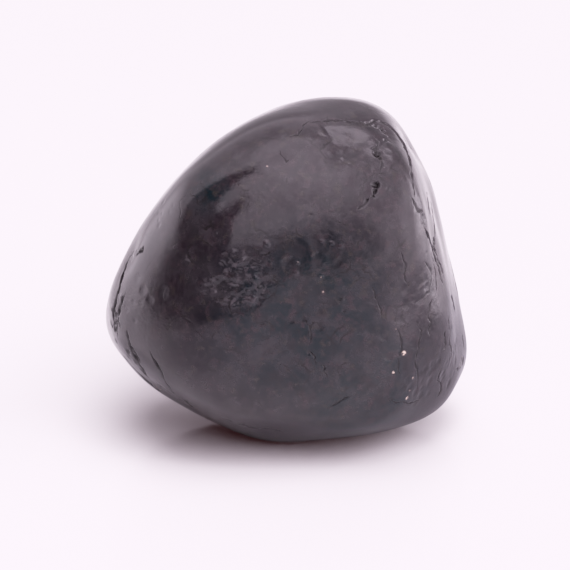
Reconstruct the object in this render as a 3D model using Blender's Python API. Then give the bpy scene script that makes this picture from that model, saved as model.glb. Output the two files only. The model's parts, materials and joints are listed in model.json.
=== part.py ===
"""A tumbled spectrolite: one solid pebble that rests on a small flat spot worn into its underside.

The numbers below are millimetres and degrees. A direction is an azimuth and an elevation seen from the
core of the stone: azimuth 0 points to the viewer (-Y) and grows toward +X, elevation is up from level.
The stone starts as a ball of even squares. Each point is then moved to the worn surface along its own ray.
"""

import math

import bmesh
import bpy
from mathutils import Vector

MM = 0.001

# The core is the point inside the stone that every direction is measured from.
CORE_HEIGHT = 13.2
SQUARES_ACROSS = 28
FOOT_SNAP = 0.12

# Flats that tumbling wore on the broken lump: name, azimuth, elevation, distance from the core.
WORN_FLATS = (
    ("front", 3, 3, 11.2),
    ("front_left", -42, 12, 12.4),
    ("front_top", -4, 36, 12.4),
    ("left_shoulder", -100, 27, 11.6),
    ("upper_left", -116, 54, 11.7),
    ("crown", 70, 79, 14.1),
    ("top_right", 104, 42, 16.4),
    ("right_side", 89, 16, 12.6),
    ("right_front", 50, -5, 13.8),
    ("left_end", -88, -2, 15.5),
    ("left_under", -70, -48, 13.3),
    ("front_under", -14, -66, 14.2),
    ("right_under", 76, -37, 17.2),
    ("right_base", 50, -66, 14.7),
    ("back", 180, 10, 11.4),
    ("back_left", -140, 5, 12.8),
    ("back_right", 140, 10, 12.8),
    ("back_top", 165, 50, 14.2),
    ("back_under", 180, -45, 12.6),
    ("base", 0, -90, 14.2),
)
# Higher is crisper: the ridges between the flats have a radius of a few millimetres.
RIDGE_CRISPNESS = 11
OUTER_ROUND = 21.0

# Slow unevenness under the polish: azimuth and elevation it runs along, wavelength, height, phase.
SWELLS = (
    (20, 65, 8.3, 0.05, 40),
    (75, 10, 9.7, 0.05, 200),
    (-50, 35, 6.9, 0.04, 310),
    (120, -40, 5.9, 0.03, 90),
)

# Shell-shaped breaks: name, where, how far the hollow leans down and swings right of the surface's own
# facing, radius of the hollow's ball, depth.
BREAKS = (
    ("crown_flake", (46, 63), (4, -3), 14.0, 0.24),
    ("eye_pit", (32, 56), (0, 0), 3.2, 0.28),
    ("rim_notch", (66, 56), (6, -4), 3.6, 0.25),
    ("rim_chip", (54, 43), (0, 5), 4.0, 0.22),
    ("left_tip_chip", (-80, -12), (0, 0), 9.0, 0.22),
    ("left_shoulder_chip", (-74, 14), (3, 0), 7.0, 0.20),
    ("left_under_chip", (-62, -34), (0, 3), 12.0, 0.24),
    ("right_rim_chip", (62, 16), (0, 4), 6.0, 0.20),
    ("right_low_chip", (72, -30), (0, 0), 9.0, 0.24),
    ("back_flake", (158, 34), (4, 0), 16.0, 0.22),
    ("back_low_chip", (-160, -24), (-3, 0), 9.0, 0.18),
    ("back_rim_chip", (118, 30), (0, 4), 8.0, 0.18),
)

# Patches of open pits: name, where, half width, half height, number of pits, depth.
PITTED_PATCHES = (
    ("left_patch", (-20, 13), 3.2, 2.0, 11, 0.25),
    ("middle_patch", (9, 24), 2.8, 1.5, 8, 0.20),
    ("back_patch", (-150, 30), 3.0, 2.0, 9, 0.20),
)
PIT_RADIUS = 0.95
GOLDEN_ANGLE = 137.5

# Open cracks: the directions that each one passes through, then its width and depth.
CRACKS = (
    ("left_end_crack", ((-72, 18), (-71, 4), (-70, -9), (-74, -22)), 0.9, 0.17),
    ("left_front_crack", ((-64, 2), (-62, -11), (-56, -26)), 0.9, 0.14),
    ("left_under_crack", ((-80, -18), (-66, -32), (-46, -42)), 0.9, 0.17),
    ("right_edge_crack", ((63, 36), (62, 22), (60, 8), (66, -6)), 0.9, 0.17),
    ("right_side_crack", ((82, 30), (78, 12), (76, -8), (82, -22)), 0.9, 0.14),
    ("low_front_crack", ((15, -33), (26, -26)), 0.8, 0.14),
    ("back_crack", ((-172, 44), (-165, 20), (-150, 4), (-146, -20)), 0.9, 0.17),
)

STONE_COLOUR = (0.022, 0.019, 0.022, 1.0)
STONE_ROUGHNESS = 0.14


def direction(azimuth, elevation):
    """The unit ray from the core toward a direction."""
    turn = math.radians(azimuth)
    rise = math.radians(elevation)
    level = math.cos(rise)
    return Vector((math.sin(turn) * level, -math.cos(turn) * level, math.sin(rise)))


FLAT_RAYS = tuple((direction(azimuth, elevation), reach) for _, azimuth, elevation, reach in WORN_FLATS)


def worn_reach(ray):
    """How far the worn flats, blended over their ridges, leave the stone along a ray."""
    pull = OUTER_ROUND**-RIDGE_CRISPNESS
    for flat_ray, reach in FLAT_RAYS:
        lean = max(0.0, ray.dot(flat_ray))
        pull += (lean / reach) ** RIDGE_CRISPNESS
    return pull ** (-1.0 / RIDGE_CRISPNESS)


def swell(point):
    """Slow waves across the surface, in and out."""
    total = 0.0
    for azimuth, elevation, length, height, phase in SWELLS:
        along = point.dot(direction(azimuth, elevation)) / length
        total += height * math.sin(math.tau * along + math.radians(phase))
    return total


def surface_point(where):
    """The point of the unbroken surface in a direction given as (azimuth, elevation)."""
    ray = direction(*where)
    return ray * worn_reach(ray)


def surface_facing(where, lean, swing):
    """The surface's outward normal, turned down by lean and to the right by swing degrees."""
    azimuth, elevation = where
    sideways = surface_point((azimuth + 1, elevation)) - surface_point((azimuth - 1, elevation))
    upward = surface_point((azimuth, elevation + 1)) - surface_point((azimuth, elevation - 1))
    normal = sideways.cross(upward).normalized()
    tilt_down = upward.normalized() * -math.tan(math.radians(lean))
    tilt_right = sideways.normalized() * math.tan(math.radians(swing))
    return (normal + tilt_down + tilt_right).normalized()


def break_balls():
    """The ball that shapes each break, as its centre and radius."""
    balls = []
    for _, where, (lean, swing), radius, depth in BREAKS:
        centre = surface_point(where) + surface_facing(where, lean, swing) * (radius - depth)
        balls.append((centre, radius))
    return balls


BREAK_BALLS = break_balls()


def broken_reach(ray, reach):
    """The reach after each ball-shaped break has bitten into the surface."""
    for centre, radius in BREAK_BALLS:
        along = ray.dot(centre)
        inside = along * along - centre.length_squared + radius * radius
        if along > 0 and inside > 0:
            reach = min(reach, along - math.sqrt(inside))
    return reach


def hollow(distance, radius, depth):
    """Depth of a soft-edged round hollow at a distance from its middle."""
    if distance >= radius:
        return 0.0
    return depth * 0.5 * (1.0 + math.cos(math.pi * distance / radius))


def pit_centres():
    """Every pit's place and depth, spread over its patch in a sunflower spiral."""
    pits = []
    for _, where, half_width, half_height, count, depth in PITTED_PATCHES:
        middle = surface_point(where)
        outward = direction(*where)
        sideways = outward.cross(Vector((0, 0, 1))).normalized()
        upward = sideways.cross(outward)
        for number in range(count):
            turn = math.radians(number * GOLDEN_ANGLE)
            spread = math.sqrt((number + 0.5) / count)
            across = sideways * (half_width * spread * math.cos(turn))
            along = upward * (half_height * spread * math.sin(turn))
            aim = (middle + across + along).normalized()
            pits.append((aim * worn_reach(aim), depth * (0.7 + 0.3 * math.cos(3 * turn))))
    return pits


def crack_legs():
    """Every crack as straight legs between surface points, with its half width and depth."""
    legs = []
    for _, stops, width, depth in CRACKS:
        points = [surface_point(stop) for stop in stops]
        for start, end in zip(points, points[1:]):
            legs.append((start, end, width, depth))
    return legs


def distance_to_leg(point, start, end):
    """Distance from a point to the straight leg between two others."""
    leg = end - start
    share = (point - start).dot(leg) / leg.length_squared
    nearest = start + leg * min(1.0, max(0.0, share))
    return (point - nearest).length


PITS = pit_centres()
CRACK_LEGS = crack_legs()


def finished_point(ray):
    """The stone's surface point along a ray, with swells, breaks, pits and cracks."""
    worn = worn_reach(ray)
    point = ray * worn
    reach = broken_reach(ray, worn + swell(point))
    for centre, depth in PITS:
        reach -= hollow((point - centre).length, PIT_RADIUS, depth)
    crack_depth = 0.0
    for start, end, width, depth in CRACK_LEGS:
        crack_depth = max(crack_depth, hollow(distance_to_leg(point, start, end), width, depth))
    return ray * (reach - crack_depth)


def shape_stone(bm):
    """Turns a cube of squares into the stone, with the core at its height above the resting plane."""
    bmesh.ops.create_cube(bm, size=2.0)
    bmesh.ops.subdivide_edges(bm, edges=bm.edges[:], cuts=SQUARES_ACROSS - 1, use_grid_fill=True)
    quarter = math.pi / 4
    for vert in bm.verts:
        even = Vector([math.tan(quarter * value) for value in vert.co])
        point = finished_point(even.normalized())
        vert.co = point + Vector((0, 0, CORE_HEIGHT))


def cut_foot(bm):
    """Grinds the underside to the resting plane and closes it with one flat face."""
    for vert in bm.verts:
        if abs(vert.co.z) < FOOT_SNAP:
            vert.co.z = 0.0
    everything = bm.verts[:] + bm.edges[:] + bm.faces[:]
    bmesh.ops.bisect_plane(
        bm, geom=everything, dist=0.001, plane_co=(0, 0, 0), plane_no=(0, 0, -1), clear_outer=True
    )
    flat_faces = [face for face in bm.faces if all(abs(vert.co.z) < 0.001 for vert in face.verts)]
    bmesh.ops.delete(bm, geom=flat_faces, context="FACES")
    rim = [edge for edge in bm.edges if edge.is_boundary]
    bmesh.ops.edgeloop_fill(bm, edges=rim)


def centre_over_box(bm):
    """Puts the middle of the stone's bounding box over the origin."""
    xs = [vert.co.x for vert in bm.verts]
    ys = [vert.co.y for vert in bm.verts]
    middle = Vector(((min(xs) + max(xs)) / 2, (min(ys) + max(ys)) / 2, 0))
    bmesh.ops.translate(bm, verts=bm.verts[:], vec=-middle)


def stone_material():
    """Polished near-black stone."""
    material = bpy.data.materials.new("polished_dark_feldspar")
    material.use_nodes = True
    shader = material.node_tree.nodes["Principled BSDF"]
    shader.inputs["Base Color"].default_value = STONE_COLOUR
    shader.inputs["Roughness"].default_value = STONE_ROUGHNESS
    shader.inputs["Metallic"].default_value = 0.0
    return material


def build_stone(collection):
    """The stone's object, in metres, resting on z = 0."""
    bm = bmesh.new()
    shape_stone(bm)
    cut_foot(bm)
    centre_over_box(bm)
    bmesh.ops.scale(bm, vec=(MM, MM, MM), verts=bm.verts[:])
    bmesh.ops.recalc_face_normals(bm, faces=bm.faces[:])
    mesh = bpy.data.meshes.new("stone")
    bm.to_mesh(mesh)
    bm.free()
    mesh.shade_smooth()
    mesh.materials.append(stone_material())
    stone = bpy.data.objects.new("stone", mesh)
    collection.objects.link(stone)


for old in list(bpy.data.objects):
    bpy.data.objects.remove(old)

parts = bpy.data.collections.new("tumbled_spectrolite")
bpy.context.scene.collection.children.link(parts)
build_stone(parts)
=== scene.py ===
import json
import math

import bpy
import numpy as np
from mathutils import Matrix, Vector, kdtree, noise

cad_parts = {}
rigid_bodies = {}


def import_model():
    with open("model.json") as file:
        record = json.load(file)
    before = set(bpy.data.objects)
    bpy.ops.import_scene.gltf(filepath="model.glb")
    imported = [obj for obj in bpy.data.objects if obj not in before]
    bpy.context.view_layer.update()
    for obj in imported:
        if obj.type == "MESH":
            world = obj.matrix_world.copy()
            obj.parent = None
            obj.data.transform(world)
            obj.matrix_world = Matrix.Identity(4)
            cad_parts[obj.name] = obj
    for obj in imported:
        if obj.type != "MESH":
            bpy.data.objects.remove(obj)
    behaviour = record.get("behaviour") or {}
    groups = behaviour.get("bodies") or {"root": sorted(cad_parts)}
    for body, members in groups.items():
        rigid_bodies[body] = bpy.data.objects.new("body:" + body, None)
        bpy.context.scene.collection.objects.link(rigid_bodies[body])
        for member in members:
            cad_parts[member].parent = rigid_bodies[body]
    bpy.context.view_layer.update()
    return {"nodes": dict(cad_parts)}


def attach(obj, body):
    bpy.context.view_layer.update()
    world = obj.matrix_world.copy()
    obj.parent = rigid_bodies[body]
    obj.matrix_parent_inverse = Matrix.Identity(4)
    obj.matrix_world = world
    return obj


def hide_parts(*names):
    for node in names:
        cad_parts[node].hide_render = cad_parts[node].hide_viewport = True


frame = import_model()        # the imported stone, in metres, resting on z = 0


# Camera. The photo is a close view from the front, looking down on the stone at 18 degrees
# with a long lens, so the stone hardly narrows with distance.
MM = 0.001
VIEW_TILT = math.radians(18)
VIEW_DISTANCE = 350 * MM
VIEW_AIM = Vector((-0.29, -0.16, 12.1)) * MM
VIEW_LENS = 282.9
FILM_WIDTH = 36
PICTURE_SIDE = 570
NEAREST_DRAWN = 10 * MM
FARTHEST_DRAWN = 20

toward_camera = Vector((0, -math.cos(VIEW_TILT), math.sin(VIEW_TILT)))
eye = VIEW_AIM + VIEW_DISTANCE * toward_camera
bpy.ops.object.camera_add(location=eye)
camera = bpy.context.active_object
camera.name = "photo_camera"
camera.rotation_euler = (math.pi / 2 - VIEW_TILT, 0, 0)
camera.data.lens = VIEW_LENS
camera.data.sensor_width = FILM_WIDTH
camera.data.clip_start = NEAREST_DRAWN
camera.data.clip_end = FARTHEST_DRAWN
bpy.context.scene.camera = camera


# The stone. One natural pebble of dark feldspar. A tumbling barrel wore its broken faces to soft flats
# and polished it, and it kept its cracks, a flaked crown and some pitted patches.
WELD = 0.001 * MM
QUAD_BEND = math.radians(40)
QUAD_SKEW = math.radians(60)
WORN_PASSES = 6
WORN_SHARE = 0.5
bpy.ops.object.select_all(action="DESELECT")
cad_stone = frame["nodes"]["stone"]
cad_stone.select_set(True)
bpy.context.view_layer.objects.active = cad_stone
bpy.ops.object.duplicate()
stone = bpy.context.active_object
stone.name = "tumbled_stone"
for mark in list(stone.keys()):
    del stone[mark]
bpy.ops.object.parent_clear(type="CLEAR_KEEP_TRANSFORM")
bpy.ops.object.mode_set(mode="EDIT")
bpy.ops.mesh.select_all(action="SELECT")
bpy.ops.mesh.remove_doubles(threshold=WELD)
bpy.ops.mesh.tris_convert_to_quads(face_threshold=QUAD_BEND, shape_threshold=QUAD_SKEW)
bpy.ops.object.mode_set(mode="OBJECT")
worn = stone.modifiers.new("worn", "SMOOTH")
worn.factor = WORN_SHARE
worn.iterations = WORN_PASSES
bpy.ops.object.modifier_apply(modifier=worn.name)
bpy.context.view_layer.update()

CORE = Vector((-0.2, -0.16, 13.2)) * MM
STONE_MIDDLE = (285, 270)
DRAW_IN = 0.005
DRAWS = 20
RAY_START = 40
film_focus = VIEW_LENS / FILM_WIDTH * PICTURE_SIDE


def seen_at(across, down, thing=None):
    """The place on the stone that shows at a point of the picture, in pixels from its top left.

    A point just off the stone's edge is drawn in towards the stone's middle until it meets the stone.
    """
    middle_across, middle_down = STONE_MIDDLE
    for pull in range(DRAWS):
        x = (across + (middle_across - across) * DRAW_IN * pull - PICTURE_SIDE / 2) / film_focus
        y = (PICTURE_SIDE / 2 - down - (middle_down - down) * DRAW_IN * pull) / film_focus
        aim = Vector((x, 0, 0)) + y * Vector((0, math.sin(VIEW_TILT), math.cos(VIEW_TILT))) - toward_camera
        met, place, facing, face = (thing or guide).ray_cast(eye, aim.normalized())
        if met:
            return place
    raise ValueError(f"no stone at {across}, {down}")


def toward(turn, height):
    """The direction at a turn from the front and a height above level, in degrees. Turn 90 is the right."""
    turn, height = math.radians(turn), math.radians(height)
    return Vector((math.sin(turn) * math.cos(height), -math.cos(turn) * math.cos(height), math.sin(height)))


def out_from_core(turn, height):
    """The place where a line from the stone's core comes out, met by a ray that starts outside."""
    aim = toward(turn, height)
    met, place, facing, face = guide.ray_cast(CORE + aim * RAY_START * MM, -aim)
    return place


def laid_out(marks, placed):
    """The rows of a table, each with its place on the stone instead of its first two numbers."""
    return [(placed(*mark[:2]), *mark[2:]) for mark in marks]


def smoothstep(value, start, end):
    """Rises softly from 0 at start to 1 at end. The start may be the larger of the two."""
    share = np.clip((value - start) / (end - start), 0, 1)
    return share * share * (3 - 2 * share)


def places_of(thing):
    """The places of a mesh's points, one row for each."""
    flat = np.zeros(len(thing.data.vertices) * 3)
    thing.data.vertices.foreach_get("co", flat)
    return flat.reshape(-1, 3)


def facings_of(thing):
    """The way that the surface faces at each of its points."""
    flat = np.zeros(len(thing.data.vertices) * 3)
    thing.data.vertex_normals.foreach_get("vector", flat)
    return flat.reshape(-1, 3)


def select_only(thing):
    """Selects one thing and makes it the active one."""
    bpy.ops.object.select_all(action="DESELECT")
    thing.select_set(True)
    bpy.context.view_layer.objects.active = thing


# Broad pushes that bring the worn flats to the photo's outline. Each is a picture point, how far the
# surface moves out there in millimetres, and how wide the push is.
PUSHES = (
    (464, 325, -0.50, 3.4), (440, 406, 0.42, 2.6), (340, 439, -0.62, 4.0), (285, 441, -0.60, 3.6),
    (231, 428, -1.15, 4.6), (150, 384, 0.30, 2.6), (106, 318, 0.16, 2.6), (112, 285, 0.18, 2.6),
    (138, 230, 0.08, 2.8), (205, 150, -0.44, 4.6), (372, 103, 0.38, 3.4), (432, 182, 0.30, 2.8),
    (443, 228, 0.15, 2.6), (442, 352, 0.30, 2.2), (437, 315, 0.18, 2.0), (307, 99, -0.10, 3.6),
    (411, 144, -0.40, 1.8),
)
GUIDE_LEVELS = 3
STONE_LEVELS = 1
pushed = [(np.array(seen_at(x, y, stone)), push * MM, reach * MM) for x, y, push, reach in PUSHES]
places = places_of(stone)
facings = facings_of(stone)
moves = np.zeros(len(places))
for middle, push, reach in pushed:
    moves += push * np.exp(-((places - middle) ** 2).sum(1) / reach ** 2)
places += facings * moves[:, None]
stone.data.vertices.foreach_set("co", places.ravel())
stone.data.update()


def round_off(thing, levels):
    """Rounds a mesh by splitting its faces, once for each level."""
    rounding = thing.modifiers.new("rounding", "SUBSURF")
    rounding.levels = levels
    rounding.render_levels = levels
    select_only(thing)
    bpy.ops.object.modifier_apply(modifier=rounding.name)


# A finely rounded copy is the guide for the worn surface: marks are laid out on it,
# and the stone's own finer faces are drawn onto it before anything is carved.
select_only(stone)
bpy.ops.object.duplicate()
guide = bpy.context.active_object
guide.name = "worn_guide"
round_off(guide, GUIDE_LEVELS)
round_off(stone, STONE_LEVELS)
bpy.context.view_layer.update()

# Cracks. Each is a run of places on the surface: how wide and how deep it is in millimetres, then its points.
# They opened before and during tumbling. The thin, shallow ones are healed seams.
GRAIN = 0.03 * MM
LONGEST_RUN = 8 * GRAIN
WANDER = 0.10
CHANCE_SEED = 7
chance = np.random.default_rng(CHANCE_SEED)

FRONT_CRACKS = {
    "crown_edge": (0.16, 0.13, ((310, 123), (318, 121), (329, 120), (340, 120), (350, 121.5), (361, 122.5))),
    "crown_break": (0.30, 0.22, ((359, 123), (366, 124.5), (371, 122), (378, 121), (386, 124))),
    "crown_rim": (0.26, 0.18, ((383, 122), (390, 126), (396, 132), (401, 139), (405, 147), (408, 155),
                               (411, 170))),
    "crown_tail": (0.20, 0.10, ((411, 170), (413, 184), (415, 196))),
    "crown_curl": (0.14, 0.10, ((310, 121), (304, 124), (301, 130), (299, 134), (290, 136))),
    "brow": (0.09, 0.015, ((280, 150), (283, 156), (286, 161), (290, 158))),
    "shoulder_slit": (0.20, 0.14, ((357, 210), (363, 206), (369, 198))),
    "shoulder_hook": (0.18, 0.10, ((373, 195), (378, 187), (377, 180))),
    "shoulder_edge": (0.16, 0.10, ((374, 135), (378, 143), (379, 152), (383, 163), (381, 172))),
    "left_long": (0.28, 0.20, ((134, 251), (128, 261), (124, 272), (120, 284), (117, 296), (114, 308),
                               (114, 320), (115, 331))),
    "left_fork": (0.22, 0.14, ((126, 292), (122, 303), (119, 313), (117, 325), (118, 337))),
    "left_cross": (0.20, 0.12, ((111, 309), (117, 315), (122, 308))),
    "left_cross_low": (0.20, 0.12, ((112, 328), (117, 321), (121, 328))),
    "left_slit": (0.24, 0.16, ((144, 246), (140, 251), (136, 255))),
    "left_low": (0.28, 0.18, ((127, 331), (129, 341), (132, 351), (137, 360), (143, 369), (149, 378))),
    "left_low_twin": (0.18, 0.12, ((131, 346), (136, 354), (141, 363))),
    "left_rim": (0.28, 0.18, ((122, 353), (128, 361), (135, 369), (143, 377), (151, 384), (160, 391))),
    "left_inner": (0.20, 0.13, ((150, 351), (155, 361), (161, 371), (166, 383), (175, 395))),
    "left_foot": (0.20, 0.12, ((185, 400), (190, 405), (194, 408))),
    "right_first": (0.24, 0.20, ((427, 193), (428, 203), (430, 215))),
    "right_second": (0.24, 0.20, ((431, 203), (433, 216), (434.5, 229), (435, 241))),
    "right_long": (0.28, 0.20, ((424, 226), (427, 234), (431, 244), (434, 254), (437, 264), (440, 273),
                                (443, 283))),
    "right_twin": (0.20, 0.14, ((433, 244), (437, 255), (441, 266), (444, 278))),
    "right_return": (0.18, 0.10, ((431, 253), (434, 266), (436, 280), (437, 294))),
    "right_brow": (0.17, 0.12, ((411, 195), (415, 203), (419, 210), (424, 215))),
    "right_dash": (0.26, 0.18, ((451, 296), (453.5, 304), (455, 313))),
    "right_dash_low": (0.24, 0.18, ((462, 335), (463, 341), (464, 349))),
    "right_foot": (0.20, 0.10, ((445, 331), (445, 339), (443, 351))),
    "right_blob": (0.28, 0.20, ((462, 356), (461, 363), (457, 369))),
    "low_slit": (0.14, 0.06, ((327, 409.5), (335, 404.5), (342, 400), (351, 396))),
    "front_vein": (0.14, 0.05, ((372, 287), (375, 298), (380, 308), (381, 318))),
    "front_vein_low": (0.12, 0.04, ((309, 324), (311, 334), (310, 344))),
    "right_arc": (0.18, 0.05, ((424, 261), (430, 269), (432, 279), (429, 291), (421, 299), (414, 304))),
    "right_vein": (0.16, 0.06, ((397, 328), (401, 339), (402, 351), (399, 363), (400, 374))),
    "right_vein_low": (0.16, 0.06, ((417, 322), (421, 335), (419, 349), (415, 363), (418, 376), (417, 389))),
    "right_vein_high": (0.14, 0.05, ((401, 252), (405, 263), (404, 275), (409, 286))),
    "right_seam": (0.16, 0.06, ((432, 300), (429, 311), (431, 323), (430, 336))),
    "right_seam_low": (0.16, 0.06, ((441, 368), (438, 379), (441, 390), (436, 399))),
    "right_seam_far": (0.16, 0.06, ((448, 316), (450, 330), (449, 345), (452, 358))),
    "low_seam": (0.14, 0.05, ((387, 396), (396, 403), (407, 404), (419, 401))),
    "front_knot": (0.14, 0.09, ((322, 364), (325, 368), (324, 372), (328, 377))),
    "front_knot_arm": (0.12, 0.07, ((309, 351), (315, 357), (316, 365))),
}
# The points of the cracks on the far sides are turns and heights around the core, in degrees.
OTHER_CRACKS = {
    "back_long": (0.24, 0.15, ((150, 52), (160, 40), (164, 27), (172, 15), (170, 2), (176, -12))),
    "back_fork": (0.18, 0.12, ((164, 27), (152, 20), (146, 9))),
    "back_left": (0.24, 0.15, ((-152, 46), (-140, 34), (-134, 20), (-122, 8), (-118, -6))),
    "back_left_twin": (0.16, 0.10, ((-137, 30), (-128, 22), (-125, 12))),
    "left_over": (0.22, 0.14, ((-92, 44), (-98, 30), (-96, 16), (-104, 2), (-101, -14))),
    "right_over": (0.24, 0.15, ((98, 46), (94, 30), (101, 14), (97, -2), (104, -18))),
    "right_over_fork": (0.16, 0.10, ((101, 14), (112, 8), (118, -3))),
    "crown_over": (0.18, 0.12, ((120, 62), (150, 66), (-170, 62), (-150, 56))),
    "under_front": (0.16, 0.10, ((-30, -42), (-18, -50), (-2, -52))),
    "under_back": (0.18, 0.12, ((150, -38), (166, -46), (-172, -44))),
}


def wandering_line(corners):
    """A crack's line from corner to corner, broken up by small side steps, with its points a grain apart."""
    line = [Vector(corner) for corner in corners]
    while max((end - start).length for start, end in zip(line, line[1:])) > LONGEST_RUN:
        finer = [line[0]]
        for start, end in zip(line, line[1:]):
            along = end - start
            if along.length > LONGEST_RUN:
                side = along.cross((start - CORE).normalized())
                finer.append((start + end) / 2 + side * chance.normal(0, WANDER))
            finer.append(end)
        line = finer
    points = []
    for start, end in zip(line, line[1:]):
        steps = max(1, round((end - start).length / GRAIN))
        points += [start.lerp(end, step / steps) for step in range(steps)]
    return points + [line[-1]]


# Every crack is wider and narrower by turns along its run, in two beats laid over each other, and its
# ends are thin and shallow.
BEATS_PER_MM = (2.6, 6.1)
BEAT_SHIFT = 6
BEAT_SHARE = 0.22
TAPER_IN = 0.15
TAPER_OUT = 0.82
END_WIDTH = 0.45
END_DEPTH = 0.2
crack_points, crack_half_width, crack_depth = [], [], []
for cracks, placed in ((FRONT_CRACKS, seen_at), (OTHER_CRACKS, out_from_core)):
    for width, depth, corners in cracks.values():
        points = wandering_line([placed(*corner) for corner in corners])
        share = np.linspace(0, 1, len(points))
        distance = share * len(points) * GRAIN / MM
        beat = sum(np.sin(distance * pace + chance.uniform(0, BEAT_SHIFT)) for pace in BEATS_PER_MM)
        ends = smoothstep(share, 0, TAPER_IN) * smoothstep(share, 1, TAPER_OUT)
        crack_points += points
        wide = END_WIDTH + (1 - END_WIDTH) * ends
        deep = END_DEPTH + (1 - END_DEPTH) * ends
        crack_half_width += list(width / 2 * MM * wide * (1 + BEAT_SHARE * beat))
        crack_depth += list(depth * MM * deep * (1 + BEAT_SHARE * beat))
crack_half_width = np.array(crack_half_width)
crack_depth = np.array(crack_depth)


def nearest_on(places, points):
    """For every place, how far the nearest point is and which one it is."""
    tree = kdtree.KDTree(len(points))
    for number, point in enumerate(points):
        tree.insert(point, number)
    tree.balance()
    found = [tree.find(place) for place in places]
    return np.array([hit[2] for hit in found]), np.array([hit[1] for hit in found])


# Pits and bumps. The polish never reached these places: grains plucked out of the surface left pits,
# and harder grains stand a little proud. Each is a picture point, a radius in millimetres, and how deep
# or high it is against that radius.
FRONT_PITS = (
    (217, 286, 0.85, 0.10), (209, 295, 0.45, 0.10), (230, 266, 0.45, 0.16), (258, 259, 0.95, 0.07),
    (249, 293, 0.50, 0.14), (268, 281, 0.50, 0.10), (222, 266, 0.30, 0.12), (241, 274, 0.45, 0.08),
    (235, 300, 0.55, 0.08), (234, 310, 0.40, 0.10), (248, 252, 0.40, 0.10), (259, 301, 0.40, 0.08),
    (283, 243, 0.80, 0.02), (299, 250, 0.95, 0.02), (315, 243, 0.60, 0.02), (288, 262, 0.55, 0.08),
    (318, 261, 0.55, 0.03), (333, 254, 0.55, 0.03), (338, 262, 0.40, 0.03), (327, 236, 0.60, 0.03),
    (349, 154, 0.70, 0.10), (340, 153, 0.50, 0.08), (331, 155, 0.34, 0.05), (356, 152, 0.36, 0.06),
    (345, 134, 0.50, 0.03), (330, 131, 0.60, 0.03), (362, 140, 0.50, 0.04), (366, 158, 0.42, 0.05),
    (424, 219, 0.50, 0.26), (418, 209, 0.36, 0.18), (137, 278, 0.46, 0.06), (143, 290, 0.44, 0.05),
    (150, 300, 0.50, 0.03), (141, 303, 0.36, 0.04), (164, 292, 0.56, 0.03), (187, 262, 0.34, 0.08),
    (309, 352, 0.28, 0.16), (389, 358, 0.34, 0.14), (384, 338, 0.34, 0.10), (344, 309, 0.26, 0.10),
    (291, 320, 0.36, 0.07), (262, 322, 0.34, 0.08), (304, 318, 0.34, 0.08), (320, 325, 0.44, 0.07),
    (250, 345, 0.40, 0.05), (281, 351, 0.44, 0.05), (375, 300, 0.50, 0.06), (400, 320, 0.50, 0.08),
    (420, 300, 0.50, 0.08), (405, 290, 0.42, 0.08), (430, 330, 0.44, 0.10), (415, 345, 0.46, 0.09),
    (432, 365, 0.44, 0.12), (405, 375, 0.40, 0.10), (388, 390, 0.44, 0.08), (420, 395, 0.44, 0.10),
    (360, 330, 0.40, 0.06), (345, 350, 0.36, 0.07), (352, 378, 0.40, 0.06), (310, 395, 0.44, 0.06),
)
# Deep chips: the dark notches at the crown's right end, down the right shoulder and at both rims.
DEEP_CHIPS = (
    (376, 125, 0.34, 0.80), (381, 127, 0.38, 0.90), (385, 132, 0.30, 0.90), (386, 139, 0.22, 0.80),
    (369, 124, 0.22, 0.60), (378, 151, 0.38, 0.70), (375, 146, 0.20, 0.70), (381, 156, 0.18, 0.60),
    (376, 184, 0.34, 0.65), (375, 190, 0.26, 0.60), (373, 196, 0.16, 0.60), (361, 122, 0.14, 0.60),
    (463, 361, 0.36, 0.45), (116, 316, 0.34, 0.40), (115, 330, 0.26, 0.40), (147, 381, 0.34, 0.35),
    (128, 352, 0.30, 0.35), (434, 241, 0.36, 0.40), (425, 222, 0.30, 0.45),
)
FRONT_BUMPS = (
    (234, 253, 0.34, 0.12), (243, 262, 0.26, 0.16), (213, 278, 0.22, 0.14), (256, 279, 0.26, 0.20),
    (260, 288, 0.22, 0.20), (244, 300, 0.20, 0.18), (254, 298, 0.22, 0.18), (202, 290, 0.20, 0.14),
    (267, 244, 0.30, 0.26), (332, 243, 0.18, 0.26), (322, 241, 0.18, 0.22), (341, 246, 0.22, 0.16),
    (296, 273, 0.22, 0.20), (321, 277, 0.20, 0.22), (298, 263, 0.16, 0.20), (342, 301, 0.24, 0.14),
    (340, 158, 0.26, 0.14), (347, 163, 0.26, 0.18), (353, 159, 0.20, 0.18), (331, 150, 0.20, 0.16),
    (373, 138, 0.20, 0.24), (384, 167, 0.22, 0.20), (389, 188, 0.22, 0.22), (379, 198, 0.20, 0.18),
    (216, 233, 0.14, 0.26), (187, 255, 0.14, 0.16), (135, 253, 0.30, 0.18), (121, 297, 0.26, 0.18),
    (112, 309, 0.30, 0.22), (111, 323, 0.26, 0.22), (116, 341, 0.26, 0.20), (135, 362, 0.34, 0.20),
    (142, 371, 0.30, 0.20), (128, 357, 0.24, 0.18), (157, 389, 0.28, 0.18), (452, 327, 0.26, 0.12),
)

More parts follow.
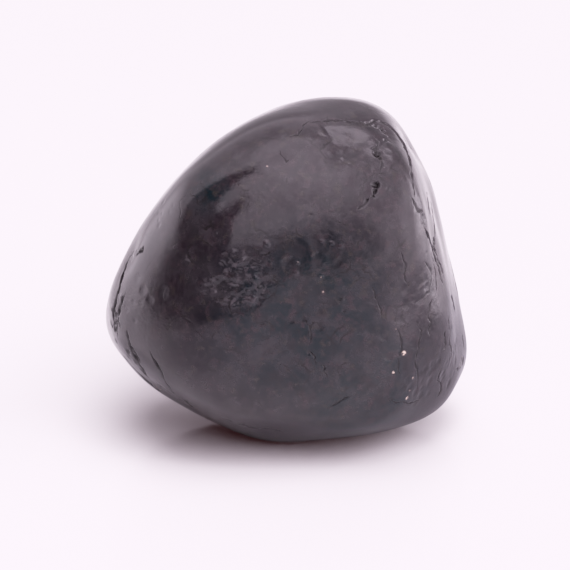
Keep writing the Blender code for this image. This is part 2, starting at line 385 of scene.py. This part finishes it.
# Pitted patches: where each is, how far it spreads in millimetres, and how many pits it has. A place on
# the far sides is a turn and a height around the core.
OTHER_PITTED = (
    (-150, 30, 3.0, 28), (176, -8, 2.4, 18), (112, 26, 2.2, 16), (-62, 32, 1.5, 7),
    (70, -22, 2.4, 16), (-100, -20, 2.2, 14), (140, 50, 2.0, 9), (-110, 50, 2.0, 8),
)
FRONT_PITTED = (
    (238, 280, 1.9, 8), (308, 252, 2.2, 3), (376, 155, 1.6, 5), (425, 375, 3.0, 22),
    (425, 290, 2.2, 10), (130, 300, 1.8, 4),
)
PIT_SCATTER = 0.5
PIT_RADII = (0.16, 0.46)
PIT_DEPTHS = (0.06, 0.14)
pits = [(place, radius * MM, -steep) for place, radius, steep in laid_out(FRONT_PITS + DEEP_CHIPS, seen_at)]
bumps = [(place, radius * MM, steep) for place, radius, steep in laid_out(FRONT_BUMPS, seen_at)]
for middle, reach, count in laid_out(OTHER_PITTED, out_from_core) + laid_out(FRONT_PITTED, seen_at):
    for number in range(count):
        step = Vector(chance.normal(0, PIT_SCATTER * reach * MM, 3))
        met, place, facing, face = guide.closest_point_on_mesh(middle + step)
        pits.append((place, chance.uniform(*PIT_RADII) * MM, -chance.uniform(*PIT_DEPTHS)))

# Pale flecks: small mica and feldspar grains that show warm white in the dark stone. Each is a picture
# point and a radius in millimetres, and the far sides have some more by chance.
FRONT_FLECKS = (
    (404, 353, 0.20), (393.5, 372.5, 0.13), (413, 378, 0.11), (407, 398, 0.17), (409.5, 390.5, 0.08),
    (396, 329, 0.08), (344, 127, 0.05), (267, 166, 0.09), (323, 292, 0.10), (321, 277, 0.08),
    (157, 387, 0.12), (298, 262, 0.06),
)
OTHER_FLECKS = 26
FLECK_TURNS = (60, 300)
FLECK_HEIGHTS = (-50, 75)
FLECK_RADII = (0.06, 0.16)
flecks = [(place, radius * MM) for place, radius in laid_out(FRONT_FLECKS, seen_at)]
for number in range(OTHER_FLECKS):
    place = out_from_core(chance.uniform(*FLECK_TURNS), chance.uniform(*FLECK_HEIGHTS))
    flecks.append((place, chance.uniform(*FLECK_RADII) * MM))


def how_far(middle):
    """How far each of the stone's points lies from a place."""
    return np.sqrt(((places - np.array(middle)) ** 2).sum(1))


# The stone's faces are made finer in three rounds around its marks. Each round reaches less far from the
# cracks, the pits and the flecks, in millimetres, and the last takes only the thin cracks and the flecks.
THIN_CRACK = 0.08 * MM
NO_PITS = None
ROUNDS = ((0.58, 0.2, 0.45), (0.3, 0.02, 0.2), (0.11, NO_PITS, 0.06))
for crack_reach, pit_reach, fleck_reach in ROUNDS:
    places = places_of(stone)
    away, which = nearest_on(places, crack_points)
    near = away < crack_reach * MM
    if pit_reach is NO_PITS:
        near &= crack_half_width[which] < THIN_CRACK
    else:
        for middle, size, steep in pits + bumps:
            near |= how_far(middle) < size + pit_reach * MM
    for middle, size in flecks:
        near |= how_far(middle) < size + fleck_reach * MM
    select_only(stone)
    bpy.ops.object.mode_set(mode="EDIT")
    bpy.ops.mesh.select_all(action="DESELECT")
    bpy.ops.object.mode_set(mode="OBJECT")
    for face in stone.data.polygons:
        face.select = any(near[corner] for corner in face.vertices)
    bpy.ops.object.mode_set(mode="EDIT")
    bpy.ops.mesh.subdivide(number_cuts=1, smoothness=0)
    bpy.ops.object.mode_set(mode="OBJECT")

# The finer points are drawn onto the guide.
drawn = stone.modifiers.new("drawn_on", "SHRINKWRAP")
drawn.target = guide
drawn.wrap_method = "NEAREST_SURFACEPOINT"
select_only(stone)
bpy.ops.object.modifier_apply(modifier=drawn.name)

# Carving. Every point of the mesh moves in or out along the surface's own direction.
places = places_of(stone)
facings = facings_of(stone)
RIPPLE_SHIFT = (1, 2.7, -1.3)


def ripple(size, number):
    """Soft random swelling, from about -1 to 1. Size is how far apart the swells are, in millimetres."""
    shift = Vector([number * share for share in RIPPLE_SHIFT])
    return np.array([noise.noise(Vector(place) / (size * MM) + shift) for place in places])


def swelling(ripples):
    """The sum of some ripples. Each is a height in millimetres, a size, and a number for its pattern."""
    return sum(height * MM * ripple(size, number) for height, size, number in ripples)


# Places with a poorer polish: where each is, how far it spreads in millimetres, and how strong it is.
FRONT_POOR = ((425, 340, 7, 1), (120, 330, 4, 0.7), (350, 190, 6, 0.8), (300, 245, 3.4, 0.6))
OTHER_POOR = ((150, 0, 8, 1), (-130, 30, 6, 1))
poor_polish = np.zeros(len(places))
for middle, reach, share in laid_out(FRONT_POOR, seen_at) + laid_out(OTHER_POOR, out_from_core):
    poor_polish = np.maximum(poor_polish, share * np.exp(-(how_far(middle) / (reach * MM)) ** 2))

# The knobbly patch left of the middle, where many small grains stand proud, as overlapping round spots.
KNOBBLY_SPOTS = (
    (212, 285, 0.9), (226, 296, 1.1), (236, 274, 1.3), (250, 290, 1.4), (262, 266, 0.9), (245, 262, 1.0),
)
KNOBBLY_END = 1.3
KNOBBLY_FULL = 0.6
knobbly = np.zeros(len(places))
for middle, reach in laid_out(KNOBBLY_SPOTS, seen_at):
    spot = smoothstep(how_far(middle), KNOBBLY_END * reach * MM, KNOBBLY_FULL * reach * MM)
    knobbly = np.maximum(knobbly, spot)

# The surface swells a little all over, more finely where the polish is poor, and most in the knobbly patch.
WORN_RIPPLES = ((0.016, 3.4, 4.1), (0.009, 1.5, 9.3))
POOR_RIPPLES = ((0.014, 1.0, 2.2), (0.006, 0.5, 6.1))
KNOB_RIPPLES = ((0.055, 0.60, 5.7), (0.03025, 0.30, 8.8))
lift = swelling(WORN_RIPPLES) + poor_polish * swelling(POOR_RIPPLES) + knobbly * swelling(KNOB_RIPPLES)

# Pits and bumps are shallow bowls and caps with lobed rims. Steep pits are chips, whose walls get painted
# shade.
# Each ring of lobes is how many they are, how far they stand out, and how a mark's size turns them.
LOBES = ((2, 0.14, 4e4), (5, 0.09, 9e4))
LOBED_REACH = 1.35
CHIP_STEEP = -0.3
pitted = np.zeros(len(places))
chipped = np.zeros(len(places))
deepest = np.zeros(len(places))
highest = np.zeros(len(places))
for middle, size, steep in pits + bumps:
    off = places - np.array(middle)
    far = np.sqrt((off ** 2).sum(1)) / size
    near = far < LOBED_REACH
    turned = np.arctan2(off[near, 0] + off[near, 1], off[near, 2])
    lobed = sum(share * np.sin(count * turned + size * shift) for count, share, shift in LOBES)
    rim = far[near] * (1 + lobed)
    bowl = steep * size * np.clip(1 - rim ** 2, 0, 1)
    deepest[near] = np.minimum(deepest[near], bowl)
    highest[near] = np.maximum(highest[near], bowl)
    marked = np.clip(2 - 2 * rim, 0, 1)
    if steep < CHIP_STEEP:
        chipped[near] = np.maximum(chipped[near], marked)
    elif steep < 0:
        pitted[near] = np.maximum(pitted[near], marked)
lift += deepest + highest

# A crack is a groove that drops most steeply at its lips, and the painted shade of its floor, with some dirt,
# reaches nearly out to them.
GROOVE_SHAPE = 0.8
GROOVE_SHADE_REACH = 1.8
away, which = nearest_on(places, crack_points)
slot = np.clip(1 - away / crack_half_width[which], 0, 1)
lift -= crack_depth[which] * slot ** GROOVE_SHAPE
crack = np.clip(slot * GROOVE_SHADE_REACH, 0, 1)

# The crown's flake. A chip sprang off below the three cracks of the crown and left a shallow hollow: a
# small step at the cracks, then a floor that falls away and comes back up towards the middle of the front.
FLAKE_STEP = 0.05 * MM
FLAKE_FALL = 0.20 * MM
FLAKE_LIP = (-0.02 * MM, 0.06 * MM)
FLAKE_SLOPE = 2.6 * MM
FLAKE_NEAR = 3.4 * MM
FLAKE_FAR = 6.5 * MM
FLAKE_BLEND = (1.5 * MM, 3 * MM)
FLAKE_TAPER_IN = 0.12
FLAKE_TAPER_OUT = 0.8
FLAKE_MIDDLE = (352, 172)
FLAKE_RUNS = 12
FLAKE_CRACKS = ("crown_edge", "crown_break", "crown_rim")
flake_corners = []
for name in FLAKE_CRACKS:
    corners = FRONT_CRACKS[name][2]
    flake_corners += corners[1:] if flake_corners else corners
flake_line = [seen_at(*corner) for corner in flake_corners]
flake_points = []
for start, end in zip(flake_line, flake_line[1:]):
    flake_points += [start.lerp(end, step / FLAKE_RUNS) for step in range(FLAKE_RUNS)]
away, which = nearest_on(places, flake_points)
flake_edge = np.array([tuple(point) for point in flake_points])[which]
inward = np.array(seen_at(*FLAKE_MIDDLE)) - flake_edge
inward /= np.linalg.norm(inward, axis=1)[:, None]
inside = ((places - flake_edge) * inward).sum(1)
line_share = which / len(flake_points)
flake_ends = smoothstep(line_share, 0, FLAKE_TAPER_IN) * smoothstep(line_share, 1, FLAKE_TAPER_OUT)
fall = FLAKE_STEP * smoothstep(inside, *FLAKE_LIP) + FLAKE_FALL * smoothstep(inside, 0, FLAKE_SLOPE)
fall *= smoothstep(away, FLAKE_FAR, FLAKE_NEAR) * np.maximum(flake_ends, smoothstep(away, *FLAKE_BLEND))
lift -= fall

# A fleck smaller than the clear size is a faint one. Its edge fades out at a little over its radius.
CLEAR_FLECK = 0.15 * MM
FLECK_EDGE = 1.1
fleck = np.zeros(len(places))
for middle, size in flecks:
    clear = min(1, (size / CLEAR_FLECK) ** 2)
    fleck = np.maximum(fleck, clear * np.clip(2 * (FLECK_EDGE - how_far(middle) / size), 0, 1))

# The stone is bluer here and purple-brown elsewhere: each place, and how far it spreads in millimetres.
FRONT_BLUE = ((305, 320, 7.5), (370, 400, 6), (205, 190, 2.0))
OTHER_BLUE = ((170, 10, 8), (-120, 40, 5))
blue_zone = np.zeros(len(places))
for middle, reach in laid_out(FRONT_BLUE, seen_at) + laid_out(OTHER_BLUE, out_from_core):
    blue_zone = np.maximum(blue_zone, np.exp(-(how_far(middle) / (reach * MM)) ** 4))

# The points near the card settle onto it, which makes the flat spot that the stone rests on.
FOOT_BLEND = 1.2 * MM
FOOT_SINK = 0.1 * MM
places += facings * lift[:, None]
foot = 1 - smoothstep(places[:, 2], 0, FOOT_BLEND)
places[:, 2] = np.maximum(0, places[:, 2] - FOOT_SINK * foot)
stone.data.vertices.foreach_set("co", places.ravel())
carvings = {"crack": crack, "pitted": pitted, "chipped": chipped, "fleck": fleck, "blue_zone": blue_zone,
            "poor_polish": poor_polish, "knobbly": knobbly}
for name, values in carvings.items():
    layer = stone.data.attributes.new(name, "FLOAT", "POINT")
    layer.data.foreach_set("value", values.astype(np.float32))
stone.data.update()
bpy.data.objects.remove(guide)
select_only(stone)
bpy.ops.object.shade_smooth()

# The stone's material. Polished dark feldspar: a clear hard polish over a ground of two dark colours,
# mottled with paler patches. The carved marks are rougher, and have their own colours. The cracks and chips
# are painted near black as shade in their recesses.
FELDSPAR_IOR = 1.56
CLOUD_ROUGHNESS = 0.6
feldspar = bpy.data.materials.new("polished_dark_feldspar")
feldspar.use_nodes = True
nodes = feldspar.node_tree.nodes
links = feldspar.node_tree.links
polish = nodes["Principled BSDF"]
polish.inputs["IOR"].default_value = FELDSPAR_IOR
spot = nodes.new("ShaderNodeTexCoord").outputs["Object"]


def limited(value, start, end):
    """Stretches a pattern so that start becomes 0 and end becomes 1."""
    limits = nodes.new("ShaderNodeMapRange")
    limits.inputs["From Min"].default_value = start
    limits.inputs["From Max"].default_value = end
    links.new(value, limits.inputs["Value"])
    return limits.outputs["Result"]


def cloud(scale, detail, start, end):
    """A patchy pattern in the stone, from 0 to 1.

    Scale is how many patches fit in a millimetre, detail is how fine their edges are, and the pattern
    fades in between the levels start and end.
    """
    patches = nodes.new("ShaderNodeTexNoise")
    patches.inputs["Scale"].default_value = scale / MM
    patches.inputs["Detail"].default_value = detail
    patches.inputs["Roughness"].default_value = CLOUD_ROUGHNESS
    links.new(spot, patches.inputs["Vector"])
    return limited(patches.outputs["Fac"], start, end)


def feed(sockets, values):
    """Links each socket to another one, or gives it a plain value."""
    for socket, value in zip(sockets, values):
        if isinstance(value, bpy.types.NodeSocket):
            socket.id_data.links.new(value, socket)
        else:
            socket.default_value = value


def mixed(kind, share, first, second):
    """Mixes two numbers or two colours by a share from 0 to 1; each may be a socket or a plain value."""
    mix = nodes.new("ShaderNodeMix")
    mix.data_type = kind
    feed([socket for socket in mix.inputs if socket.enabled], (share, first, second))
    return [socket for socket in mix.outputs if socket.enabled][0]


def math_step(tree, kind, *values):
    """One step of arithmetic in a node tree; each value may be a socket or a plain number."""
    step = tree.nodes.new("ShaderNodeMath")
    step.operation = kind
    feed(step.inputs, values)
    return step.outputs[0]


def times(first, second):
    """The product of two numbers in the stone's material."""
    return math_step(feldspar.node_tree, "MULTIPLY", first, second)


def carved(name):
    """A value that the carving left on the stone's points."""
    mark = nodes.new("ShaderNodeAttribute")
    mark.attribute_name = name
    return mark.outputs["Fac"]


# Healed hairlines: a net of thin seams, bent out of line and broken up, that only shows in patches.
SEAM_NET = 0.55 / MM
SEAM_HALF_WIDTH = 0.05
SEAM_BENDS = 0.9 / MM
SEAM_BEND_DETAIL = 3
SEAM_BEND = 1.1 * MM
SEAM_PATCHES = (0.45, 3, 0.50, 0.62)
bent = nodes.new("ShaderNodeTexNoise")
bent.inputs["Scale"].default_value = SEAM_BENDS
bent.inputs["Detail"].default_value = SEAM_BEND_DETAIL
links.new(spot, bent.inputs["Vector"])
shifted = nodes.new("ShaderNodeVectorMath")
shifted.operation = "MULTIPLY_ADD"
links.new(bent.outputs["Color"], shifted.inputs[0])
shifted.inputs[1].default_value = (SEAM_BEND, SEAM_BEND, SEAM_BEND)
links.new(spot, shifted.inputs[2])
net = nodes.new("ShaderNodeTexVoronoi")
net.feature = "DISTANCE_TO_EDGE"
net.inputs["Scale"].default_value = SEAM_NET
links.new(shifted.outputs[0], net.inputs["Vector"])
hairline = times(limited(net.outputs["Distance"], SEAM_HALF_WIDTH, 0), cloud(*SEAM_PATCHES))

# Colour. The mottling is laid on in the order of its list: each kind of patch is its cloud's scale,
# detail and two levels, how strong it is, and its colour.
PURPLE_BROWN = (0.0086, 0.0050, 0.0074, 1)
BLUE_GREY = (0.0030, 0.0078, 0.0100, 1)
PALE_CLOUD = (0.0330, 0.0290, 0.0320, 1)
DARK_CLOUD = (0.0045, 0.0040, 0.0050, 1)
ROSE_SPECK = (0.0250, 0.0175, 0.0200, 1)
OLIVE_SPECK = (0.0250, 0.0215, 0.0175, 1)
SEAM_BROWN = (0.0040, 0.0028, 0.0026, 1)
RECESS_SHADE_DARK = (0.0033, 0.0021, 0.0025, 1)
PIT_GREY = (0.0132, 0.0122, 0.0142, 1)
KNOB_GREY = (0.0360, 0.0320, 0.0350, 1)
FLECK_WHITE = (0.55, 0.44, 0.37, 1)
MOTTLING = (
    (0.35, 5, 0.45, 0.70, 0.80, PALE_CLOUD),
    (0.7, 5, 0.48, 0.68, 0.80, DARK_CLOUD),
    (0.9, 2, 0.48, 0.74, 0.55, PALE_CLOUD),
    (2.6, 4, 0.50, 0.72, 0.35, PALE_CLOUD),
    (1.2, 6, 0.53, 0.68, 0.80, ROSE_SPECK),
    (1.3, 4, 0.56, 0.72, 0.60, OLIVE_SPECK),
)
SEAM_STRENGTH = 0.9
PIT_STRENGTH = 0.4
KNOB_PATCHES = (2.2, 3, 0.54, 0.66)
FLECK_PATCHES = (5, 2, 0.34, 0.52)
body = mixed("RGBA", carved("blue_zone"), PURPLE_BROWN, BLUE_GREY)
for scale, detail, start, end, strength, colour in MOTTLING:
    body = mixed("RGBA", times(cloud(scale, detail, start, end), strength), body, colour)
body = mixed("RGBA", times(hairline, SEAM_STRENGTH), body, SEAM_BROWN)
body = mixed("RGBA", times(carved("pitted"), PIT_STRENGTH), body, PIT_GREY)
body = mixed("RGBA", times(carved("knobbly"), cloud(*KNOB_PATCHES)), body, KNOB_GREY)
# Painted shade: the chips and the cracks are painted near black in their recesses, and the cracks also have
# some dirt.
body = mixed("RGBA", carved("chipped"), body, RECESS_SHADE_DARK)
body = mixed("RGBA", carved("crack"), body, RECESS_SHADE_DARK)
body = mixed("RGBA", times(carved("fleck"), cloud(*FLECK_PATCHES)), body, FLECK_WHITE)
links.new(body, polish.inputs["Base Color"])

# Roughness. The polish varies a little in patches, and most kinds of mark have their own.
POLISH_PATCHES = (0.8, 4, 0.35, 0.75)
BEST_POLISH = 0.06
PLAIN_POLISH = 0.12
POOR_POLISH = 0.24
PIT_POLISH = 0.13
SEAM_POLISH = 0.2
CHIP_POLISH = 0.3
CRACK_POLISH = 0.5
roughness = mixed("FLOAT", cloud(*POLISH_PATCHES), BEST_POLISH, PLAIN_POLISH)
roughness = mixed("FLOAT", carved("poor_polish"), roughness, POOR_POLISH)
roughness = mixed("FLOAT", carved("pitted"), roughness, PIT_POLISH)
roughness = mixed("FLOAT", hairline, roughness, SEAM_POLISH)
roughness = mixed("FLOAT", carved("chipped"), roughness, CHIP_POLISH)
roughness = mixed("FLOAT", carved("crack"), roughness, CRACK_POLISH)
links.new(roughness, polish.inputs["Roughness"])


def bumped(height, depth, normal=None):
    """A bump as deep as depth in millimetres, outward unless depth is negative, over an earlier normal."""
    bump = nodes.new("ShaderNodeBump")
    bump.invert = depth < 0
    bump.inputs["Strength"].default_value = 1
    bump.inputs["Distance"].default_value = abs(depth) * MM
    links.new(height, bump.inputs["Height"])
    if normal:
        links.new(normal, bump.inputs["Normal"])
    return bump.outputs["Normal"]


# Bump. Shallow dents and a fine grain, both much weaker where the polish is good, and sunken seams.
DENTS = (0.9, 3, 0.2, 0.8)
DENT_HEIGHT = 0.03
POLISHED_DENTS = 0.12
GRAINS = (2.4, 4, 0.2, 0.8)
GRAIN_HEIGHT = 0.012
POLISHED_GRAINS = 0.2
SEAM_HEIGHT = -0.004
dents = times(cloud(*DENTS), mixed("FLOAT", carved("poor_polish"), POLISHED_DENTS, 1.0))
grains = times(cloud(*GRAINS), mixed("FLOAT", carved("poor_polish"), POLISHED_GRAINS, 1.0))
surface = bumped(dents, DENT_HEIGHT)
surface = bumped(grains, GRAIN_HEIGHT, surface)
surface = bumped(hairline, SEAM_HEIGHT, surface)
links.new(surface, polish.inputs["Normal"])
stone.data.materials.clear()
stone.data.materials.append(feldspar)
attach(stone, "root")
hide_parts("stone")


# Floor. One sheet of smooth glossy white card under the stone, big enough to fill every view. It lies
# flat on the table and mirrors the stone at a low angle.
FLOOR_SIZE = 6
CARD_WHITE = (0.80, 0.80, 0.80, 1)
CARD_ROUGHNESS = 0.06
CARD_IOR = 1.45
PAINTED_GLOW_COLOUR = (1, 0.3, 0.3, 1)
PAINTED_GLOW_STRENGTH = 0.02
bpy.ops.mesh.primitive_plane_add(size=FLOOR_SIZE, location=(0, 0, 0))
floor = bpy.context.active_object
floor.name = "white_card"
card = bpy.data.materials.new("white_card")
card.use_nodes = True
card_face = card.node_tree.nodes["Principled BSDF"]
card_face.inputs["Base Color"].default_value = CARD_WHITE
card_face.inputs["Roughness"].default_value = CARD_ROUGHNESS
card_face.inputs["IOR"].default_value = CARD_IOR
# The card glows faintly warm through its emission, a painted light that keeps the shadow under the stone a
# little warm.
card_face.inputs["Emission Color"].default_value = PAINTED_GLOW_COLOUR
card_face.inputs["Emission Strength"].default_value = PAINTED_GLOW_STRENGTH
card_nodes = card.node_tree.nodes
card_links = card.node_tree.links
card_place = card_nodes.new("ShaderNodeTexCoord").outputs["Object"]


def card_shade(middle, full, bare, share):
    """A round soft shade on the card, dark by a share out to full and gone at bare, in millimetres."""
    away = card_nodes.new("ShaderNodeVectorMath")
    away.operation = "DISTANCE"
    card_links.new(card_place, away.inputs[0])
    away.inputs[1].default_value = Vector((*middle, 0)) * MM
    fade = card_nodes.new("ShaderNodeMapRange")
    fade.interpolation_type = "SMOOTHSTEP"
    fade.inputs["From Min"].default_value = full * MM
    fade.inputs["From Max"].default_value = bare * MM
    fade.inputs["To Min"].default_value = share
    fade.inputs["To Max"].default_value = 0
    card_links.new(away.outputs["Value"], fade.inputs["Value"])
    return fade.outputs["Result"]


# Painted shade on the card that only the stone's polish mirrors: grey patches in front on the left, at the
# right, painted shadow under the overhang, and far behind. The camera and the lamps meet plain white card.
# Each patch is its middle, how far out it is full and where it has faded, in millimetres, and how much it
# covers.
REFLECTED_SHADE_GREY = (0.20, 0.20, 0.22, 1)
REFLECTED_SHADE_ROUGHNESS = 0.6
REFLECTED_SHADES = (
    ((-20, -122), 92, 122, 0.66), ((32, 7), 18, 51, 0.80), ((5, -1), 8, 14, 0.60),
    ((-18, 3), 7, 15, 0.5), ((-100, 400), 90, 155, 0.4),
)
reflected_shade_face = card_nodes.new("ShaderNodeBsdfPrincipled")
reflected_shade_face.inputs["Base Color"].default_value = REFLECTED_SHADE_GREY
reflected_shade_face.inputs["Roughness"].default_value = REFLECTED_SHADE_ROUGHNESS
shades = [card_shade(*shade_patch) for shade_patch in REFLECTED_SHADES]
shade = shades[0]
for other_shade in shades[1:]:
    shade = math_step(card.node_tree, "MAXIMUM", shade, other_shade)
# Glossy rays see the painted shade, and all other rays see the white card.
in_polish = card_nodes.new("ShaderNodeLightPath").outputs["Is Glossy Ray"]
reflected_shading = card_nodes.new("ShaderNodeMixShader")
card_links.new(math_step(card.node_tree, "MULTIPLY", shade, in_polish), reflected_shading.inputs[0])
card_links.new(card_face.outputs[0], reflected_shading.inputs[1])
card_links.new(reflected_shade_face.outputs[0], reflected_shading.inputs[2])
card_links.new(reflected_shading.outputs[0], card_nodes["Material Output"].inputs["Surface"])
floor.data.materials.append(card)


# Light. A tent of white cloth stands all round the stone, with lamps behind its roof and walls and a dark
# opening at the front left. The picture is exposed bright, so the card is nearly white.
TENT_WHITE = 1.25
TENT_DARK = 0.12
TENT_CLOTH = (1, 1, 1, 1)
SEEN_BACKDROP = (1.38, 1.38, 1.38, 1)

tent = bpy.data.worlds.new("light_tent")
bpy.context.scene.world = tent
tent.use_nodes = True
tree = tent.node_tree
tree.nodes.clear()
look = tree.nodes.new("ShaderNodeTexCoord")
split = tree.nodes.new("ShaderNodeSeparateXYZ")
tree.links.new(look.outputs["Generated"], split.inputs[0])


def product(*parts):
    """All of some parts of the pattern multiplied together."""
    whole = parts[0]
    for part in parts[1:]:
        whole = math_step(tree, "MULTIPLY", whole, part)
    return whole


def ramp(angle, start, end):
    """Rises smoothly from 0 at start to 1 at end. The start may be the larger of the two."""
    rise = tree.nodes.new("ShaderNodeMapRange")
    rise.interpolation_type = "SMOOTHSTEP"
    rise.inputs["From Min"].default_value = min(start, end)
    rise.inputs["From Max"].default_value = max(start, end)
    rise.inputs["To Min"].default_value = 0 if start < end else 1
    rise.inputs["To Max"].default_value = 1 if start < end else 0
    tree.links.new(angle, rise.inputs["Value"])
    return rise.outputs["Result"]


def along(direction):
    """How far the looking direction goes along another one."""
    shared = tree.nodes.new("ShaderNodeVectorMath")
    shared.operation = "DOT_PRODUCT"
    tree.links.new(look.outputs["Generated"], shared.inputs[0])
    shared.inputs[1].default_value = direction
    return shared.outputs["Value"]


def lamp(turn, height, full, faded):
    """1 inside a round patch of the tent's wall, fading out between two angles from its middle."""
    outer, inner = math.cos(math.radians(faded)), math.cos(math.radians(full))
    return ramp(along(toward(turn, height)), outer, inner)


def edge(corners, inside, softness):
    """1 on one side of a round cut through the tent's wall that passes through three directions."""
    first, second, third = [toward(*corner) for corner in corners]
    axis = (second - first).cross(third - first).normalized()
    if axis.dot(toward(*inside)) < axis.dot(first):
        axis = -axis
    reach = axis.dot(first)
    soft = math.sin(math.radians(softness))
    return ramp(along(axis), reach - soft, reach + soft)


def lay_over(glow, patch, strength):
    """Sets the tent's brightness to strength where the patch is 1."""
    change = math_step(tree, "MULTIPLY", math_step(tree, "SUBTRACT", strength, glow), patch)
    return math_step(tree, "ADD", glow, change)


# The looking direction as a turn from the front and a height above level, in degrees.
toward_viewer = math_step(tree, "MULTIPLY", split.outputs["Y"], -1.0)
turn = math_step(tree, "ARCTAN2", split.outputs["X"], toward_viewer)
turn = math_step(tree, "MULTIPLY", turn, math.degrees(1))
height = math_step(tree, "ARCSINE", split.outputs["Z"])
height = math_step(tree, "MULTIPLY", height, math.degrees(1))

# Lamps and dim patches behind the tent's cloth, in the order in which they cover each other. Each is its
# turn and height, the angles from its middle where it is full and where it has faded, and its brightness.
FIRST_LAMPS = (
    (-174, 14, 9, 25, 0.58), (172, 1, 4, 11, 1.8), (140, 62, 5, 12, 3.0), (-115, -3, 11, 33, 2.9),
    (50, 15, 12, 38, 1.6), (78, 18, 14, 34, 2.6), (2, 16, 8, 24, 0.75),
)
ROOF_LAMP = (10, 62, 30, 55)
ROOF_STRENGTH = 1.68
LAST_LAMPS = (
    (-6, 70, 8, 22, 2.6), (-11, 58, 3, 12, 2.2), (110, 6, 9, 26, 4.6), (151, 28, 13, 24, 0.55),
)
# An edge is three directions that it passes through, one that lies inside it, and how soft it is.
ROOF_FRONT = (((-20, 27), (5, 34), (35, 54)), (0, 60), 3)
glow = TENT_WHITE
for *place, strength in FIRST_LAMPS:
    glow = lay_over(glow, lamp(*place), strength)
glow = lay_over(glow, product(lamp(*ROOF_LAMP), edge(*ROOF_FRONT)), ROOF_STRENGTH)
for *place, strength in LAST_LAMPS:
    glow = lay_over(glow, lamp(*place), strength)

# The dark opening: two curved gaps beside the front cloth and a low one along the table.
GAP_OUTER = (((-24, 67), (-66, 51), (-93, 14)), (-40, 20), 1.5)
GAP_INNER = (((-23, 66), (-40, 51), (-47, 36)), (-60, 30), 1.5)
SLIT_OUTER = (((-18, 52), (-29, 47), (-46, 37)), (-30, 10), 1.5)
SLIT_INNER = (((-18, 52), (-25, 38), (-24, 12)), (-60, 20), 1.5)
GAP_LEFT = (-94, -80)
GAP_RIGHT = (-19, -23)
LOW_LEFT = (-90, -76)
LOW_RIGHT = (18, -6)
LOW_TOP = (20, 13)
TABLE_EDGE = (-20, -6)
gap_outer = edge(*GAP_OUTER)
gap = product(gap_outer, edge(*GAP_INNER))
slit = product(gap_outer, edge(*SLIT_OUTER), edge(*SLIT_INNER))
above_table = ramp(height, *TABLE_EDGE)
gap_ends = product(ramp(turn, *GAP_LEFT), ramp(turn, *GAP_RIGHT), above_table)
low_gap = product(ramp(turn, *LOW_LEFT), ramp(turn, *LOW_RIGHT), above_table, ramp(height, *LOW_TOP))
opening = math_step(tree, "MAXIMUM", product(math_step(tree, "MAXIMUM", gap, slit), gap_ends), low_gap)
glow = lay_over(glow, opening, TENT_DARK)

tent_light = tree.nodes.new("ShaderNodeBackground")
tent_light.inputs["Color"].default_value = TENT_CLOTH
tree.links.new(glow, tent_light.inputs["Strength"])
backdrop = tree.nodes.new("ShaderNodeBackground")
backdrop.inputs["Color"].default_value = SEEN_BACKDROP
seen = tree.nodes.new("ShaderNodeLightPath")
pick = tree.nodes.new("ShaderNodeMixShader")
tree.links.new(seen.outputs["Is Camera Ray"], pick.inputs[0])
tree.links.new(tent_light.outputs[0], pick.inputs[1])
tree.links.new(backdrop.outputs[0], pick.inputs[2])
tent_out = tree.nodes.new("ShaderNodeOutputWorld")
tree.links.new(pick.outputs[0], tent_out.inputs["Surface"])

# The tent is what the polish mirrors. The card is lit by four broad soft lamps that don't show in the
# polish. Each is its name, its turn and height, its strength, and how wide it looks, in degrees.
tent.cycles_visibility.diffuse = False
SOFT_LAMPS = (
    ("front_lamp", 19, 45, 4.4, 54), ("top_lamp", 0, 88, 2.3, 50),
    ("right_lamp", 80, 22, 2.6, 60), ("back_lamp", 180, 40, 1.0, 50),
)
for name, lamp_turn, lamp_height, strength, width in SOFT_LAMPS:
    bpy.ops.object.light_add(type="SUN")
    soft_lamp = bpy.context.active_object
    soft_lamp.name = name
    soft_lamp.rotation_euler = toward(lamp_turn, lamp_height).to_track_quat("Z", "Y").to_euler()
    soft_lamp.data.energy = strength
    soft_lamp.data.angle = math.radians(width)
    soft_lamp.visible_glossy = False

# Film. It presses the bright tones together, and it shows green a little weaker than red and blue. Each
# point of its curve is a brightness, how bright it shows, and the share of green that is lost there.
FILM_CURVE = (
    (0.1, 0.1, 0.135), (0.25, 0.25, 0.13), (0.5, 0.49, 0.11), (0.75, 0.68, 0.09),
    (1.0, 0.82, 0.075), (1.35, 0.945, 0.0625), (2.0, 0.985, 0.06),
)
FILM_END = 4
END_GREEN_LOSS = 0.055
GREEN_CHANNEL = 1
view = bpy.context.scene.view_settings
view.view_transform = "Standard"
view.use_curve_mapping = True
film = view.curve_mapping
film.use_clip = False
film.clip_max_x = FILM_END
film.clip_max_y = 1
for channel in range(3):
    curve = film.curves[channel]
    green = int(channel == GREEN_CHANNEL)
    while len(curve.points) > 2:
        curve.points.remove(curve.points[1])
    curve.points[0].location = (0, 0)
    curve.points[1].location = (FILM_END, 1 - END_GREEN_LOSS * green)
    for bright, shown, loss in FILM_CURVE:
        curve.points.new(bright, shown * (1 - loss * green))
film.update()
